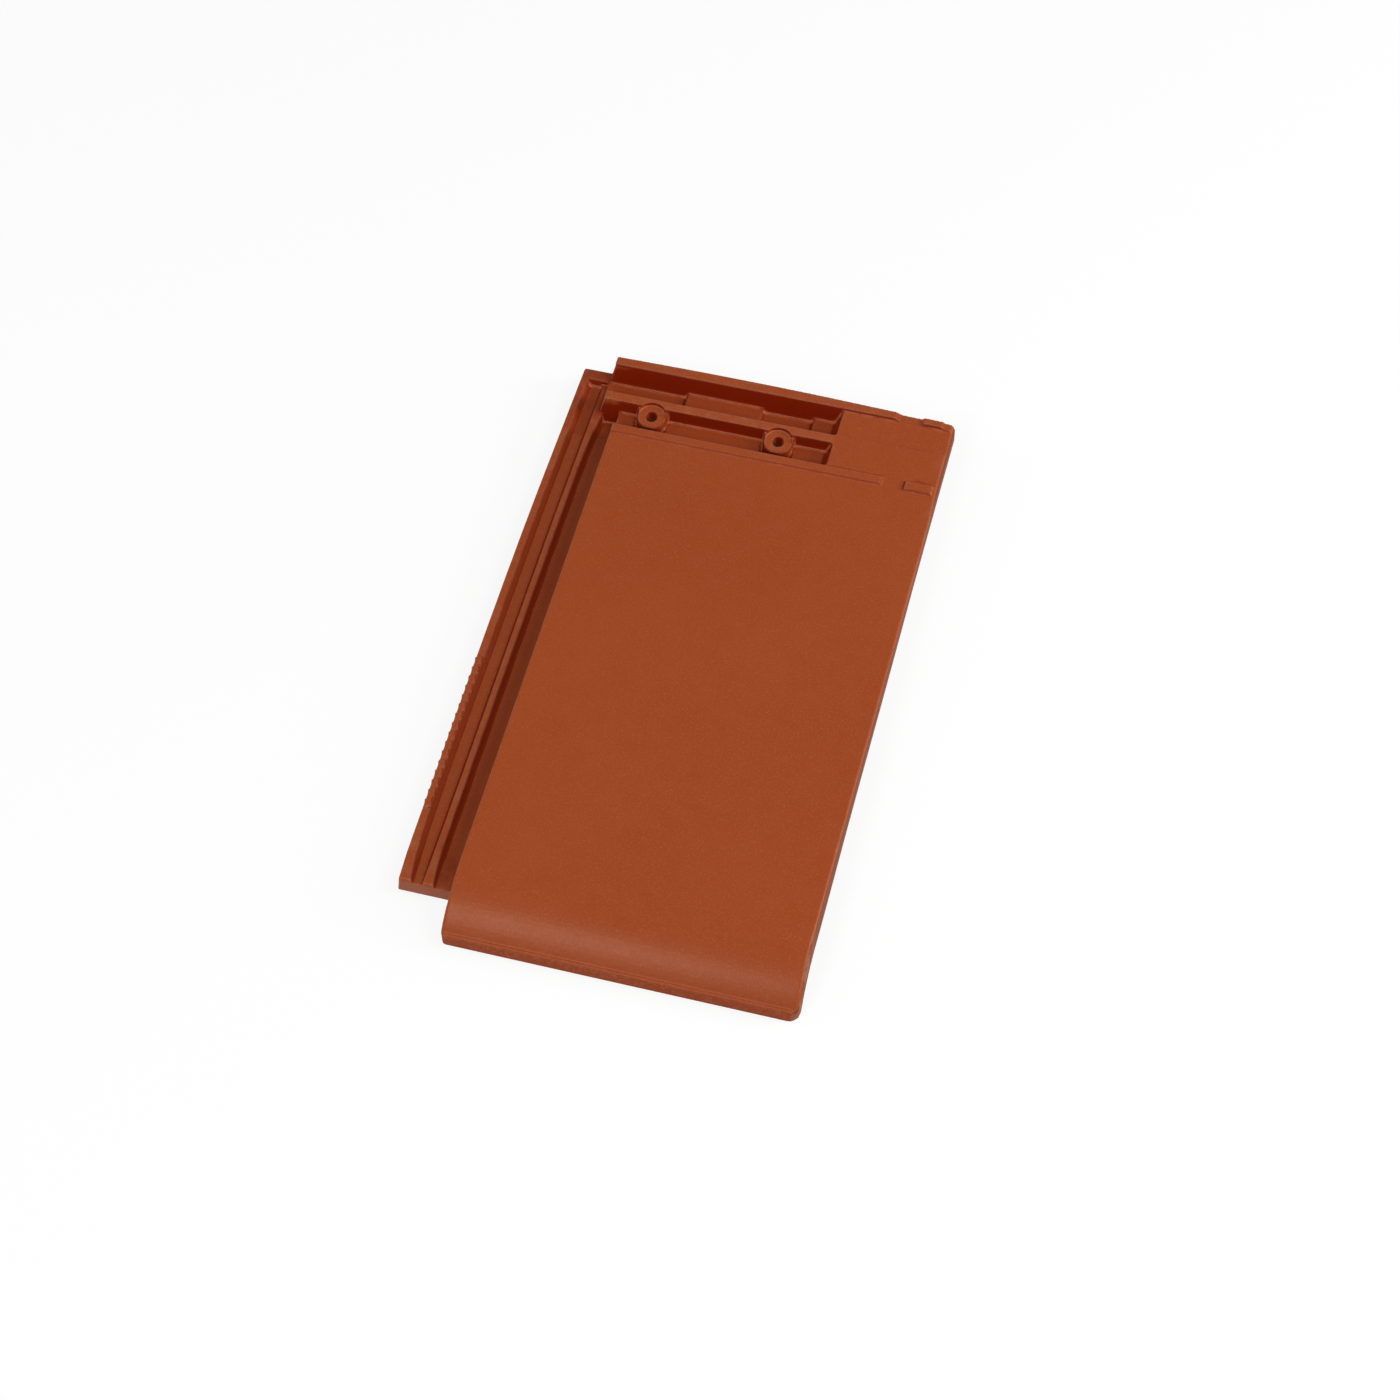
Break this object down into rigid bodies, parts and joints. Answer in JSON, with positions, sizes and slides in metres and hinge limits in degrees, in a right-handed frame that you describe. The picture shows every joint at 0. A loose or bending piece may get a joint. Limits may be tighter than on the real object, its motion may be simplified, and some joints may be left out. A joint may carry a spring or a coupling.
{
  "type": "interlocking clay roof tile",
  "caption": "Flat interlocking clay roof tile, pressed in one piece, with a rolled front lip, a side lock, a head lock with nail bosses, and nibs under the head.",
  "frame": {"origin": "centre of the tile's bounding box, at the level that its lip and nibs lie on", "axes": "+X across the tile to its plain overlapping edge, +Y up the roof's slope to the head lock, +Z out of the weathered face"},
  "size_m": [0.2774, 0.478, 0.033],
  "materials": {
    "fired_clay": "satin red-brown engobe on fired clay, with very fine grain; bare clay on the pressed rims"
  },
  "bodies": {
    "root": {"roof_tile": "fired_clay"}
  },
  "joints": []
}
